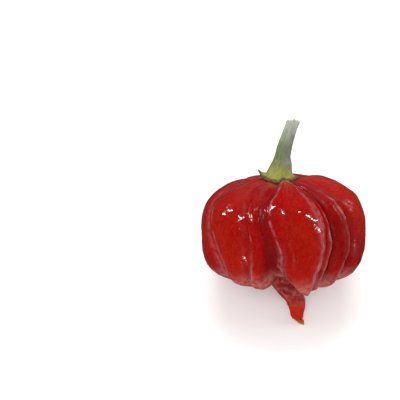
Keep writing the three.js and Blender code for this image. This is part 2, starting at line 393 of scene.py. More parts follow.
@dataclass
class Pod:
    """The red pod: twelve lobes and folds round a hollow foot, and a hooked tail.

    A pair of latitudes, or of shares of the tail, says where a change starts and where it is complete.
    """

    latitudes: tuple[float, ...] = (70, 35, 0, -35, -70)
    creases: tuple[Crease, ...] = (
        Crease((-112, -108, -104, -102, -102), (0.05, 0.08, 0.09, 0.11, 0.12), 1.6, 1.6, 0.2, 0.3),
        Crease((-84, -72, -58, -50, -66), (0.03, 0.035, 0.02, 0.06, 0.08), 1.3, 1.2, 0.5, 0.8, 0.3),
        Crease((-36, -29, -25, -27, -45), (0.05, 0.05, 0.04, 0.06, 0.1), 1.2, 1.4, 0.1, 0.6, 0.2),
        Crease((-8, -18, -11, -8, -14), (0.05, 0.065, 0.07, 0.18, 0.38), 1.1, 1.0, 0.0, 0.0, 0.3),
        Crease((-4, -12, -4, 0, 28), (0.05, 0.065, 0.075, 0.19, 0.38), 1.0, 1.9, 0.0, 1.0, 0.12),
        Crease((22, 32, 36, 31, 36), (0.035, 0.045, 0.055, 0.065, 0.09), 1.8, 1.4, 1.0, 0.5, 0.15),
        Crease((27, 36, 42, 36, 42), (0.05, 0.085, 0.095, 0.1, 0.13), 1.6, 1.6, 0.9, 0.0, 0.12),
        Crease((42, 54, 62, 53, 62), (0.055, 0.08, 0.095, 0.1, 0.11), 1.9, 1.6, 1.0, 0.0, 0.1),
        Crease((92, 103, 107, 104, 104), (0.06, 0.1, 0.1, 0.11, 0.12), 1.7, 1.7, 0.3, 0.4),
        Crease((124, 125, 124, 122, 121), (0.07, 0.1, 0.11, 0.13, 0.14), 1.7, 1.7, 0.8, 0.0),
        Crease((186, 183, 181, 180, 180), (0.08, 0.1, 0.12, 0.14, 0.16), 1.8, 1.8, 0.2, 0.7),
        Crease((232, 234, 237, 239, 240), (0.07, 0.1, 0.1, 0.12, 0.14), 1.7, 1.7, 0.6, 0.1),
    )
    lobes: tuple[Lobe, ...] = (
        Lobe(18.4 * MM, 12.9 * MM, 11.0 * MM, 2.7, 0.5, 28, 0.5, 0.4),
        Lobe(18.4 * MM, 12.9 * MM, 11.4 * MM, 2.7, 0.5, 30, 0.55, 0.7),
        Lobe(17.7 * MM, 12.7 * MM, 11.6 * MM, 3.0, 0.28, 28, 0.35, 0.75),
        # The valley lobe gets the deepest red, a painted shade that darkens it and the lobe flanks beside it.
        Lobe(18.1 * MM, 12.9 * MM, 12.3 * MM, 3.0, 0.5, 14, 0.0, 0.0, True, 1.0),
        Lobe(18.6 * MM, 13.6 * MM, 12.9 * MM, 3.0, 0.5, 40, 0.5, 0.85),
        Lobe(17.4 * MM, 13.0 * MM, 12.2 * MM, 3.0, 0.5, 18, 0.2, 0.3, dull=0.8),
        Lobe(18.5 * MM, 13.0 * MM, 11.7 * MM, 3.0, 0.55, 28, 0.1, 0.1, dull=0.95),
        Lobe(19.3 * MM, 13.9 * MM, 10.9 * MM, 3.0, 0.5, 34, 0.95, 0.05, dull=1.0),
        Lobe(18.5 * MM, 13.1 * MM, 11.2 * MM, 3.0, 0.5, 22, 0.6, 0.5, dull=0.7),
        Lobe(18.6 * MM, 12.7 * MM, 12.0 * MM, 3.0, 0.45, 38, 0.5, 0.7),
        Lobe(18.6 * MM, 12.3 * MM, 12.0 * MM, 3.0, 0.55, 38, 0.35, 0.6),
        Lobe(18.3 * MM, 12.3 * MM, 11.3 * MM, 3.0, 0.5, 16, 0.6, 0.4),
    )
    crest_power: float = 2.3
    foot_power: float = 3.6
    crown: Hollow = Hollow(12.9 * MM, 1.1 * MM, 7.5 * MM, 26, 0.22)
    foot: Hollow = Hollow(11.6 * MM, 2.7 * MM, 10.0 * MM, 42, 0)
    foot_right: float = 0.9 * MM
    foot_back: float = -2.4 * MM
    foot_offset_span: Pair = (-30, -75)
    tail: tuple[TailStation, ...] = (
        TailStation(mm(0.55, -2.4, -9.9), mm(3.7, 3.5)),
        TailStation(mm(0.5, -2.45, -10.5), mm(3.15, 3.0)),
        TailStation(mm(0.75, -2.45, -11.6), mm(2.85, 2.7)),
        TailStation(mm(1.85, -2.35, -13.3), mm(2.75, 2.35)),
        TailStation(mm(3.05, -2.2, -15.1), mm(2.5, 2.0)),
        TailStation(mm(3.6, -2.0, -16.8), mm(1.95, 1.7)),
        TailStation(mm(3.7, -1.75, -18.4), mm(1.6, 1.4)),
        TailStation(mm(3.85, -1.5, -19.8), mm(1.22, 1.1)),
        TailStation(mm(4.4, -1.3, -20.8), mm(0.8, 0.75)),
        TailStation(mm(4.9, -1.18, -21.4), mm(0.42, 0.4)),
    )
    tail_tip: Triple = mm(5.35, -1.08, -21.8)
    tail_evened_by: int = 6
    tail_length: float = 12 * MM
    tail_leaves_at: float = -72.0
    crown_start: float = 85
    foot_end: float = -77
    crown_rings: int = 92
    foot_rings: int = 84
    tail_rings: int = 76
    root_below: float = -66
    root_along_tail: float = 0.35
    root_rounds: int = 8
    lip_height: float = 0.13 * MM
    lip_inset: float = 0.85 * MM
    lip_width: float = 0.17 * MM
    echo_inset: float = 1.6 * MM
    echo_share: float = 0.75
    # How wide the painted sheen beside the creases is, and the latitudes over which it comes in.
    border_width: float = 1.1 * MM
    border_after: Pair = (10, -30)
    border_before: Pair = (60, 30)
    lumps: Waves = Waves(6 * MM, 0.26 * MM)
    dimples: Waves = Waves(1.9 * MM, 0.09 * MM, shift=0.1)
    ripples: Waves = Waves(1.25 * MM, 0.1 * MM, squeeze=0.3)
    crumples: Waves = Waves(1.1 * MM, 0.17 * MM, 3, 0.2)
    lip_breaks: Waves = Waves(2.2 * MM, 1.2, shift=0.3)
    lip_usual: float = 0.5
    lip_fullest: float = 1.2
    sways: tuple[Waves, ...] = tuple(Waves(3.2 * MM, 0.3 * MM, shift=step) for step in (0.4, 0.5, 0.6))
    tip_sway: float = 0.4
    relief_below: Pair = (88, 68)
    crumpled_below: Pair = (-60, -74)
    tail_crumple: float = 0.8
    tail_calmer: Pair = (0, 0.6)
    nick_along_tail: float = 0.76
    nick_width: float = 0.02
    nick_depth: float = 0.35 * MM
    nick_reach: float = 1.4
    # The sink at which the painted shade in the creases is full.
    groove_depth: float = 0.1
    ripening: Pair = (-30, 40)
    crown_haze: Pair = (30, 75)
    # Where the painted pale reflection of the floor lies, below the widest ring and on the tail's root.
    reflecting_below: Pair = (-26, -50)
    reflection_wanes: Pair = (-52, -66)
    foot_reflection: float = 0.25
    tail_reflection: float = 0.3
    tail_reflection_grows: Pair = (0, 0.1)
    tail_reflection_fades: Pair = (0.7, 0.4)

    def table(self, key: str, latitude: Array) -> Array:
        """Reads the creases' angles or depths at many latitudes.

        Args:
            key: angle or depth.
            latitude: The latitudes, in degrees.

        Returns:
            One row for each latitude, with one column for each crease.
        """
        first, last = self.latitudes[0], self.latitudes[-1]
        share = np.clip((latitude - first) / (last - first), 0, 1)
        return curve_through(values_of(self.creases, key).astype(float).T, share * (len(self.latitudes) - 1))

    def angles_at(self, latitude: float, lobe: Array, share: Array) -> Array:
        """Reads the angles round the pod at one latitude.

        Args:
            latitude: The latitude, in degrees.
            lobe: The lobe of each point.
            share: Where each point lies between its lobe's creases.

        Returns:
            The angle of each point, in radians.
        """
        start = np.radians(self.table("angle", np.array([latitude]))[0])
        end = np.append(start[1:], start[0] + FULL_TURN)
        return lerp(start[lobe], end[lobe], share)

    def size_between(self, key: str, lobe: Array, share: Array) -> Array:
        """Reads a size of the lobes, eased from crest to crest so that the pod changes gradually round it.

        Args:
            key: The name of the size.
            lobe: The lobe of each point.
            share: Where each point lies between its lobe's creases.

        Returns:
            The size at each point.
        """
        sizes, crests = values_of(self.lobes, key), values_of(self.lobes, "crest")
        crest = crests[lobe]
        rising = share < crest
        other = np.where(rising, lobe - 1, lobe + 1) % len(self.lobes)
        theirs = np.where(rising, 1 - crests[other], crests[other])
        span = np.where(rising, crest, 1 - crest) + theirs
        return lerp(sizes[lobe], sizes[other], smooth(np.abs(share - crest) / span))

    def wall(self, across: Array, steep: Array) -> Array:
        """How deep a lobe's side is sunk, from 1 at its crease to 0 at its crest."""
        return 1 - (1 - (1 - across) ** self.crest_power) ** (1 / steep)

    def surface(self, lobe: Array, share: Array, latitude: Array) -> tuple[Array, Array]:
        """Works out points of the upright pod's skin.

        Args:
            lobe: The lobe of each point.
            share: Where each point lies between its lobe's creases, from 0 to 1.
            latitude: The latitude of each point on the side outline, in degrees.

        Returns:
            Where the points are; and by what share of the radius each is sunk, how far a lip raises it and
            how strong the painted sheen beside a crease is there.
        """
        point = np.arange(len(lobe))
        angles, depths = self.table("angle", latitude), self.table("depth", latitude)
        right = (lobe + 1) % len(self.creases)
        start = np.radians(angles[point, lobe])
        end = np.radians(angles[point, right]) + np.where(right == 0, FULL_TURN, 0)
        angle = lerp(start, end, share)

        crest = values_of(self.lobes, "crest")[lobe]
        rising = share < crest
        nearer = np.where(rising, lobe, right)
        across = np.where(rising, share / crest, (1 - share) / (1 - crest))
        soft, after, before = (values_of(self.creases, key)[nearer] for key in ("soft", "after", "before"))
        steep = np.where(rising, after, before)
        wall = self.wall(np.hypot(across, soft) / np.hypot(1, soft), steep)
        wall /= self.wall(soft / np.hypot(1, soft), steep)
        bottom = lerp(depths[point, lobe], depths[point, right], smooth(share))
        sunk = np.where(values_of(self.lobes, "valley")[lobe], bottom, depths[point, nearer] * wall)

        top = latitude > 0
        left, run_out, meet, hollow_radius, hollow_depth = (
            np.where(top, getattr(self.crown, key), getattr(self.foot, key))
            for key in ("left", "run_out", "meet", "radius", "depth")
        )
        fade = smooth((90 - np.abs(latitude)) / run_out)
        lobed = 1 - sunk * lerp(left, 1, fade)
        radius, rise, drop, shoulder = (
            self.size_between(key, lobe, share) for key in ("radius", "rise", "drop", "shoulder")
        )
        power = np.where(top, shoulder, self.foot_power)
        out, up = np.cos(np.radians(latitude)), np.abs(np.sin(np.radians(latitude)))
        outline = (out**power + up**power) ** (-1 / power)
        radius = radius * out * outline * lobed
        reach = lerp(meet, np.where(top, rise, drop), fade) * up * outline * lobed
        dip = hollow_depth * smooth(1 - radius / hollow_radius)
        shift = ease(latitude, *self.foot_offset_span)
        x = radius * np.sin(angle) + self.foot_right * shift
        y = -radius * np.cos(angle) + self.foot_back * shift
        z = np.sign(latitude) * (reach - dip)

        lips = np.column_stack([values_of(self.creases, "lip_before"), values_of(self.creases, "lip_after")])
        strength = lips[nearer, rising.astype(int)] * fade
        inwards = np.where(rising, share, 1 - share) * (end - start) * radius
        echo = np.where(rising, 0, self.echo_share * strength**2)
        echo = echo * bell(inwards - self.echo_inset, self.lip_width)
        lip = strength * bell(inwards - self.lip_inset, self.lip_width) + echo
        lower = np.where(rising, ease(latitude, *self.border_after), ease(latitude, *self.border_before))
        border = strength * lower * bell(inwards - self.lip_inset, self.border_width)
        return np.column_stack([x, y, z]), np.column_stack([sunk, lip, border])

    def columns(self) -> tuple[Array, Array]:
        """Spaces the columns of points, closer together beside the creases.

        Returns:
            The lobe of each column, and where it lies between its lobe's creases.
        """
        counts = values_of(self.lobes, "columns")
        lobe = np.repeat(np.arange(len(counts)), counts)
        step = np.arange(len(lobe)) - (np.cumsum(counts) - counts)[lobe]
        return lobe, 0.5 - 0.5 * np.cos(math.pi * step / counts[lobe])

    def tail_points(self, lobe: Array, share: Array) -> tuple[Array, Array]:
        """Works out the tail's rings, which leave the foot smoothly and soon stand evenly spaced.

        Args:
            lobe: The lobe of each column.
            share: Where each column lies between its lobe's creases.

        Returns:
            The points, ring by ring, and how far along the tail each ring is, from 0 to 1.
        """
        count = len(lobe)
        at_foot = self.angles_at(self.foot_end, lobe, share)
        even = at_foot[0] + FULL_TURN * np.arange(count) / count
        controls = []
        for latitude in (self.tail_leaves_at, self.foot_end):
            controls.append(self.surface(lobe, share, np.full(count, latitude))[0])
        for i, station in enumerate(self.tail, 1):
            angle = lerp(at_foot, even, smooth(i / self.tail_evened_by))
            (x, y, z), (wide, deep) = station.at, station.half
            ring = [x + wide * np.sin(angle), y - deep * np.cos(angle), np.full(count, z)]
            controls.append(np.column_stack(ring))
        controls.append(np.tile(np.array(self.tail_tip), (count, 1)))
        stations = len(controls) - 1
        at = np.linspace(1, stations, self.tail_rings + 2)[1:-1]
        return curve_through(np.array(controls), at), (at - 1) / (stations - 1)

    def build(self, lie: Lie, finish: "SkinFinish") -> Skin:
        """Grows the pod's skin, wrinkles it and dresses it.

        Args:
            lie: How the pepper lies.
            finish: The skin's finish.

        Returns:
            The skin.
        """
        lobe, share = self.columns()
        upper = np.linspace(self.crown_start, 0, self.crown_rings, endpoint=False)
        latitude = np.concatenate([upper, np.linspace(0, self.foot_end, self.foot_rings)])
        count, rows = len(lobe), len(latitude)
        body, marks = self.surface(np.tile(lobe, rows), np.tile(share, rows), np.repeat(latitude, count))
        tail, along = self.tail_points(lobe, share)
        rings = np.concatenate([body.reshape(-1, count, 3), tail])
        skin = Skin("pod_skin", len(rings), count, self.lobes[0].radius)
        crown_top = np.array([0, 0, rings[0][:, 2].mean()])
        upright = skin.spread(rings, crown_top, np.array(self.tail_tip))

        marks = np.concatenate([marks.reshape(-1, count, 3), np.zeros_like(tail)])
        sunk, lip, border = skin.spread(marks, 0.0, 0.0).T
        reached = skin.spread(np.append(latitude, np.full(len(along), self.foot_end)), 90.0, self.foot_end)
        tail_share = skin.spread(np.append(np.zeros(rows), along), 0.0, 1.0)
        growth = Growth(upright, sunk, lip, reached, tail_share, lobe[skin.column], share[skin.column])

        skin.move(lie.lay(upright))
        skin.relax((reached < self.root_below) & (tail_share < self.root_along_tail), self.root_rounds)
        skin.keep(border=border)
        self.wrinkle(skin, growth, lie)
        self.colour(skin, growth)
        skin.hand_over(finish.material(), "pod")
        return skin

    def wrinkle(self, skin: Skin, growth: Growth, lie: Lie) -> None:
        """Gives the skin its lips, lumps, wrinkles and nick, and keeps those that its material reads.

        Args:
            skin: The skin, laid down.
            growth: What is known of its points.
            lie: How the pepper lies.
        """
        upright, tail = growth.upright, growth.tail
        angle = self.angles_at(0.0, growth.lobe, growth.share)
        girth = self.lobes[0].radius
        length = girth * np.radians(90 - growth.latitude) + self.tail_length * tail
        fibre = np.column_stack([girth * np.sin(angle), -girth * np.cos(angle), -length])

        grown = ease(growth.latitude, *self.relief_below)
        crumpled = ease(growth.latitude, *self.crumpled_below)
        crumpled *= lerp(1, self.tail_crumple, ease(tail, *self.tail_calmer))
        nick = bell(tail - self.nick_along_tail, self.nick_width) * smooth(np.sin(angle) * self.nick_reach)
        lip = growth.lip * np.clip(self.lip_usual + self.lip_breaks.at(fibre), 0, self.lip_fullest)
        out = self.lumps.at(upright) * grown * (1 - tail)
        out += (self.dimples.at(upright) + self.ripples.at(fibre)) * grown
        out += self.crumples.at(upright) * crumpled - self.nick_depth * nick + self.lip_height * lip
        sway = np.column_stack([waves.at(upright) for waves in self.sways])
        sway *= (grown * lerp(1, self.tip_sway, tail))[:, None]
        normals = skin.normals()
        sway -= normals * (sway * normals).sum(axis=1)[:, None]
        skin.move(lie.press(skin.places() + sway + normals * out[:, None]))
        skin.keep(fibre=fibre, lip=np.clip(lip, 0, 1), nick=nick)

    def colour(self, skin: Skin, growth: Growth) -> None:
        """Keeps the masks that the skin's material reads.

        Args:
            skin: The skin.
            growth: What is known of its points.
        """
        latitude, tail = growth.latitude, growth.tail
        ripe_above, ripe_below, dull = (
            self.size_between(key, growth.lobe, growth.share) for key in ("ripe_above", "ripe_below", "dull")
        )
        # A painted pale reflection of the floor, below the widest ring and on the tail's root.
        under = ease(latitude, *self.reflecting_below) * lerp(1, self.foot_reflection, ease(latitude, *self.reflection_wanes))
        skin.keep(
            # Painted shade, darker the deeper the skin is sunk into a crease.
            groove=np.clip(growth.sunk / self.groove_depth, 0, 1),
            tail=tail,
            ripe=lerp(ripe_below, ripe_above, ease(latitude, *self.ripening)),
            crown=ease(latitude, *self.crown_haze),
            under=under + self.tail_reflection * ease(tail, *self.tail_reflection_grows) * ease(tail, *self.tail_reflection_fades),
            dull=dull,
        )


@dataclass(frozen=True)
class Tooth:
    """A tooth of the calyx: its direction in degrees, its reach and how far its tip curls up off the pod."""

    angle: float
    reach: float
    curl: float


@dataclass(frozen=True)
class StemStation:
    """A place along the stem's middle line, with its half thickness."""

    at: Triple
    half: float


@dataclass
class CalyxAndStem:
    """The green calyx on the pod's crown and the cut stem that grows out of it, in one skin.

    Args:
        rings: The calyx's rings from its underside round its edge to its top, each with how far out it is
            and its height over the underside in thicknesses of the edge.
        cut_rings: The rings of the cut, each with how far in it is and its height in bevels.
    """

    centre: Pair = mm(-0.4, 0.0)
    gap: float = 0.06 * MM
    radius: float = 3.45 * MM
    edge: float = 0.5 * MM
    teeth: tuple[Tooth, ...] = (
        Tooth(-92, 1.4 * MM, 1.7 * MM),
        Tooth(-50, 0.8 * MM, 0.1 * MM),
        Tooth(-13, 2.4 * MM, 0.0),
        Tooth(24, 0.35 * MM, 0.0),
        Tooth(60, 1.7 * MM, 0.1 * MM),
        Tooth(128, 1.1 * MM, 0.3 * MM),
        Tooth(196, 1.2 * MM, 0.2 * MM),
    )
    tooth_half_width: float = 30
    tooth_point_power: float = 1.35
    curl_power: float = 3.5
    columns: int = 144
    rings: tuple[Pair, ...] = (
        (0.25, 0), (0.45, 0), (0.62, 0), (0.76, 0), (0.87, 0), (0.95, 0), (1, 0.15), (1, 0.5), (1, 0.85),
        (0.985, 0.97), (0.95, 1.05), (0.91, 1.15), (0.86, 1.35), (0.8, 1.6),
    )
    stem: tuple[StemStation, ...] = (
        StemStation(mm(-0.4, 0.0, 13.9), 3.0 * MM),
        StemStation(mm(-0.2, 0.0, 14.7), 2.7 * MM),
        StemStation(mm(0.15, 0.05, 16.0), 2.35 * MM),
        StemStation(mm(0.35, 0.2, 17.6), 1.85 * MM),
        StemStation(mm(0.8, 0.6, 19.6), 1.7 * MM),
        StemStation(mm(1.5, 1.2, 21.8), 1.55 * MM),
        StemStation(mm(2.35, 2.1, 24.0), 1.48 * MM),
        StemStation(mm(3.0, 3.0, 25.6), 1.5 * MM),
    )
    stem_length: float = 12 * MM
    stem_rings: int = 78
    ribs: int = 5
    rib_depth: float = 0.06
    cut_bevel: float = 0.16 * MM
    cut_rings: tuple[Pair, ...] = (
        (0.03, 0.5), (0.08, 0.9), (0.16, 1.0), (0.3, 0.8), (0.5, 0.35), (0.75, 0.2), (0.9, 0.3),
    )
    torn_from: float = 0.8
    torn_depth: float = 0.9 * MM
    torn_edge: float = 0.2 * MM
    tears: tuple[int, ...] = (3, 7, 11)
    finest_tears: float = 0.6
    fibre_radius: float = 2 * MM
    grain: Waves = Waves(0.7 * MM, 0.045 * MM, 3, squeeze=0.12)
    lumps: Waves = Waves(1.6 * MM, 0.05 * MM, 3)
    cut_relief: float = 0.5
    grey_side: Pair = (-0.5, 0.7)

    def calyx_reach(self, angle: Array) -> tuple[Array, Array]:
        """How far the calyx reaches in a direction, and how far its edge curls up there.

        Args:
            angle: The directions, in radians from the front, rightwards.

        Returns:
            The reach and the curl in each direction.
        """
        reach = np.full(len(angle), self.radius)
        curl = np.zeros(len(angle))
        for tooth in self.teeth:
            off = np.abs((np.degrees(angle) - tooth.angle + 180) % 360 - 180)
            share = np.maximum(0, 1 - off / self.tooth_half_width) ** self.tooth_point_power
            reach += tooth.reach * share
            curl += tooth.curl * share
        return reach, curl

    def calyx_ring(self, angle: Array, share: float, lift: float, crown: BVHTree) -> Array:
        """A ring of the calyx, draped over the pod's crown.

        Args:
            angle: The direction of each point.
            share: How far out the ring is, as a share of the calyx's reach.
            lift: How high it lies over the calyx's underside.
            crown: The upright pod's skin.

        Returns:
            The ring's points.
        """
        reach, curl = self.calyx_reach(angle)
        x = self.centre[0] + reach * share * np.sin(angle)
        y = self.centre[1] - reach * share * np.cos(angle)
        above = self.stem[-1].at[2]
        heights = np.array([crown.ray_cast((px, py, above), (0, 0, -1))[0].z for px, py in zip(x, y)])
        return np.column_stack([x, y, heights + self.gap + lift + curl * share**self.curl_power])

    def stem_points(self, angle: Array) -> tuple[Array, Array]:
        """The rings of the stem along its middle line, ribbed, torn where it is cut and closed over there.

        Args:
            angle: The direction of each point.

        Returns:
            The rings, and how far along the stem each is, from 0 to 1 at the cut and to 2 at its middle.
        """
        count = self.stem_rings
        at = np.linspace(0, len(self.stem) - 1, count)
        share = at / at[-1]
        middle = curve_through(values_of(self.stem, "at"), at)
        half = curve_through(values_of(self.stem, "half"), at)
        tangent = unit(np.gradient(middle, axis=0))
        tangent = unit(lerp(np.array([0, 0, 1.0]), tangent, share[:, None]))
        back = unit(np.cross(tangent, (1.0, 0, 0)))
        right = np.cross(back, tangent)

        inset, bevel = np.concatenate([np.zeros((count, 2)), self.cut_rings]).T
        step = np.minimum(np.arange(len(inset)), count - 1)
        wide, narrow, finest = (np.sin(often * angle + shift) for often, shift in zip(self.tears, (1, 0, 0)))
        ragged = wide * narrow + self.finest_tears * finest
        torn = self.torn_depth * (0.5 * np.sin(angle) - 0.5) + self.torn_edge * (ragged - 1)
        rising = torn * ease(share[step], self.torn_from, 1)[:, None]
        up = lerp(rising, torn.mean(), smooth(inset)[:, None]) + self.cut_bevel * bevel[:, None]
        ribbed = 1 + self.rib_depth * share[step][:, None] * np.cos(self.ribs * angle)
        radius = (half[step] * (1 - inset))[:, None] * ribbed
        rings = middle[step][:, None] + (radius * np.sin(angle))[..., None] * right[step][:, None]
        rings -= (radius * np.cos(angle))[..., None] * back[step][:, None]
        return rings + up[..., None] * tangent[step][:, None], share[step] + inset

    def build(self, lie: Lie, pod: Skin, finish: "StemFinish") -> Skin:
        """Grows the calyx and the stem and dresses them.

        Args:
            lie: How the pepper lies.
            pod: The pod's skin, which the calyx lies on.
            finish: Their finish.

        Returns:
            The skin.
        """
        stand = Lie(-lie.lean_back, (0, 0, 0))
        upright = stand.lay(pod.places() - lie.middle)
        crown = BVHTree.FromPolygons(upright.tolist(), [face.vertices[:] for face in pod.mesh.polygons])
        angle = FULL_TURN * np.arange(self.columns) / self.columns + math.pi / 2
        calyx = [self.calyx_ring(angle, share, self.edge * up, crown) for share, up in self.rings]
        stem, along = self.stem_points(angle)
        rings = np.concatenate([calyx, stem])[::-1]
        along = np.append(np.zeros(len(calyx)), along)[::-1]
        outness = np.append(np.array(self.rings)[:, 0], np.zeros(len(stem)))[::-1]

        skin = Skin("calyx_and_stem_skin", len(rings), self.columns, self.radius)
        places = skin.spread(rings, rings[0].mean(axis=0), rings[-1].mean(axis=0))
        along = skin.spread(along, 2.0, 0.0)
        out = skin.spread(outness, 0.0, 0.0)
        around = angle[skin.column]
        across, inwards = self.fibre_radius * np.sin(around), -self.fibre_radius * np.cos(around)
        fibre = np.column_stack([across, inwards, self.stem_length * along - self.radius * out])
        skin.move(lie.lay(places))
        relief = (self.grain.at(fibre) + self.lumps.at(places)) * np.where(along > 1, self.cut_relief, 1.0)
        skin.move(skin.places() + skin.normals() * relief[:, None])
        skin.keep(fibre=fibre, along=along, out=out, grey=ease(np.sin(around), *self.grey_side))
        skin.hand_over(finish.material(), "calyx_and_stem")
        return skin


class Pattern(Enum):
    """How a pattern lies on a skin: its scale across the fibres, twice, and along them."""

    EVEN = (1.0, 1.0, 1.0)
    STREAKED = (1.0, 1.0, 0.14)


@dataclass(frozen=True)
class Mottle:
    """A mottle of a finish: how it lies, the size of its spots and how sharply they stand out."""

    pattern: Pattern
    size: float
    contrast: float


class Bench:
    """Adds nodes to a node tree and joins them."""

    def __init__(self, tree: bpy.types.NodeTree) -> None:
        """Takes the tree to work on."""
        self.tree = tree

    def node(self, kind: str, **settings: object) -> bpy.types.Node:
        """Adds a node and sets its properties.

        Args:
            kind: The node's type, without its ShaderNode prefix.
            settings: Its properties by name.

        Returns:
            The node.
        """
        made = self.tree.nodes.new("ShaderNode" + kind)
        for name, value in settings.items():
            setattr(made, name, value)
        return made

    def feed(self, node: bpy.types.Node, sources: dict) -> None:
        """Joins sockets to a node's inputs, or sets numbers and colours on them.

        Args:
            node: The node.
            sources: Sockets, numbers or colours, by the input's name or place.
        """
        for key, source in sources.items():
            target = node.inputs[key]
            if isinstance(source, Socket):
                self.tree.links.new(source, target)
            elif isinstance(source, tuple) and len(target.default_value) > len(source):
                target.default_value = (*source, 1.0)
            else:
                target.default_value = source

    def sum(self, operation: str, *values: object) -> Socket:
        """Works out one number from others.

        Args:
            operation: The Math node's operation.
            values: Numbers or sockets.

        Returns:
            The socket of the result.
        """
        made = self.node("Math", operation=operation)
        self.feed(made, dict(enumerate(values)))
        return made.outputs[0]

    def between(self, mask: Socket, low: float, high: float) -> Socket:
        """Goes from low where a mask is 0 to high where it is 1."""
        return self.sum("MULTIPLY_ADD", mask, high - low, low)

    def product(self, *values: object) -> Socket:
        """Multiplies numbers or sockets.

        Args:
            values: The numbers or sockets, a socket first.

        Returns:
            The socket of their product.
        """
        result = values[0]
        for value in values[1:]:
            result = self.sum("MULTIPLY", result, value)
        return result

    def ramp(self, value: object, low: float, high: float) -> Socket:
        """Eases a value.

        Args:
            value: The value.
            low: What gives 0.
            high: What gives 1.

        Returns:
            The socket of the result.
        """
        made = self.node("MapRange", interpolation_type="SMOOTHSTEP")
        self.feed(made, {"Value": value, "From Min": low, "From Max": high})
        return made.outputs[0]

    def tint(self, share: object, start: object, end: object) -> Socket:
        """Goes from one colour to another.

        Args:
            share: How far, from 0 to 1.
            start: The colour at 0.
            end: The colour at 1.

        Returns:
            The socket of the colour.
        """
        made = self.node("Mix", data_type="RGBA")
        self.feed(made, {0: share, 6: start, 7: end})
        return made.outputs[2]

    def put(self, group: bpy.types.NodeTree, sources: dict) -> bpy.types.bpy_prop_collection:
        """Puts a node group on the bench.

        Args:
            group: The group.
            sources: Its inputs by name.

        Returns:
            Its outputs.
        """
        made = self.node("Group", node_tree=group)
        self.feed(made, sources)
        return made.outputs

    def attribute(self, name: str, output: str = "Fac") -> Socket:
        """Reads one of the skin's attributes, as a number or as another of the node's outputs."""
        return self.node("Attribute", attribute_name=name).outputs[output]


class Paint(Bench):
    """A bench on a new material, whose colour is laid on in layers."""

    def __init__(self, name: str, colour: Triple) -> None:
        """Adds the material.

        Args:
            name: Its name.
            colour: Its colour under all layers.
        """
        self.material = bpy.data.materials.new(name)
        self.material.use_nodes = True
        super().__init__(self.material.node_tree)
        self.shader = self.tree.nodes["Principled BSDF"]
        self.colour = colour

    def lay(self, colour: object, *shares: object) -> None:
        """Lays a layer over the colour.

        Args:
            colour: The layer's colour.
            shares: Masks and numbers, whose product says how far the layer covers what is under it.
        """
        self.colour = self.tint(self.product(*shares), self.colour, colour)

    def emboss(self, relief: Socket, strength: float, depth: float) -> None:
        """Gives the shader a bump.

        Args:
            relief: Its height.
            strength: Its strength.
            depth: The depth that a height of 1 stands for.
        """
        bump = self.node("Bump")
        self.feed(bump, {"Strength": strength, "Distance": depth, "Height": relief})
        self.feed(self.shader, {"Normal": bump.outputs[0]})

    def finish(self, sources: dict) -> bpy.types.Material:
        """Gives the shader its colour and its other inputs.

        Args:
            sources: The other inputs, by name.

        Returns:
            The material.
        """
        self.feed(self.shader, {"Base Color": self.colour, **sources})
        return self.material


class Effects:
    """The effects that both skins use, each a node group that is built once."""

    def __init__(self) -> None:
        """Builds the groups."""
        self.mottles = {pattern: self.mottling(pattern) for pattern in Pattern}
        self.pimples = self.pimpling()

    def group(self, name: str, numbers: list[str], masks: list[str]) -> tuple[Bench, dict, bpy.types.Node]:
        """Starts a node group, whose first input is a place.

        Args:
            name: The group's name.
            numbers: The names of its other inputs.
            masks: The names of its outputs.

        Returns:
            A bench on its tree, its inputs' sockets by name and the node that takes its outputs.
        """
        tree = bpy.data.node_groups.new(name, "ShaderNodeTree")
        tree.interface.new_socket("Place", in_out="INPUT", socket_type="NodeSocketVector")
        for label in numbers:
            tree.interface.new_socket(label, in_out="INPUT", socket_type="NodeSocketFloat")
        for label in masks:
            tree.interface.new_socket(label, in_out="OUTPUT", socket_type="NodeSocketFloat")
        entry = tree.nodes.new("NodeGroupInput")
        return Bench(tree), {s.name: s for s in entry.outputs}, tree.nodes.new("NodeGroupOutput")

    def mottling(self, pattern: Pattern) -> bpy.types.NodeTree:
        """A soft mottle whose mask runs from 0 to 1.

        Args:
            pattern: How it lies on the skin.

        Returns:
            The group.
        """
        bench, given, result = self.group("mottle_" + pattern.name.lower(), ["Size", "Contrast"], ["Mask"])
        mapping = bench.node("Mapping")
        bench.feed(mapping, {"Vector": given["Place"], "Scale": pattern.value})
        texture = bench.node("TexNoise")
        scale = bench.sum("DIVIDE", 1.0, given["Size"])
        bench.feed(texture, {"Vector": mapping.outputs[0], "Scale": scale, "Detail": 4.0, "Roughness": 0.55})
        centred = bench.sum("SUBTRACT", texture.outputs[0], 0.5)
        stretched = bench.sum("MULTIPLY_ADD", centred, given["Contrast"], 0.5)
        bench.feed(result, {"Mask": bench.ramp(stretched, 0.0, 1.0)})
        return bench.tree

    def pimpling(self) -> bpy.types.NodeTree:
        """Small round pimples: their height, and a mask that is 1 on their tops.

        Returns:
            The group.
        """
        bench, given, result = self.group("pimples", ["Size"], ["Height", "Mask"])
        texture = bench.node("TexVoronoi", feature="SMOOTH_F1")
        scale = bench.sum("DIVIDE", 1.0, given["Size"])
        bench.feed(texture, {"Vector": given["Place"], "Scale": scale, "Smoothness": 0.6})
        height = bench.sum("SUBTRACT", 1.0, texture.outputs["Distance"])
        bench.feed(result, {"Height": height, "Mask": bench.ramp(height, 0.5, 0.9)})
        return bench.tree

    def spots(self, bench: Bench, mottle: Mottle, place: Socket) -> Socket:
        """The mask of a mottle, read at a place on a material's bench."""
        numbers = {"Size": mottle.size, "Contrast": mottle.contrast}
        return bench.put(self.mottles[mottle.pattern], {"Place": place, **numbers})["Mask"]


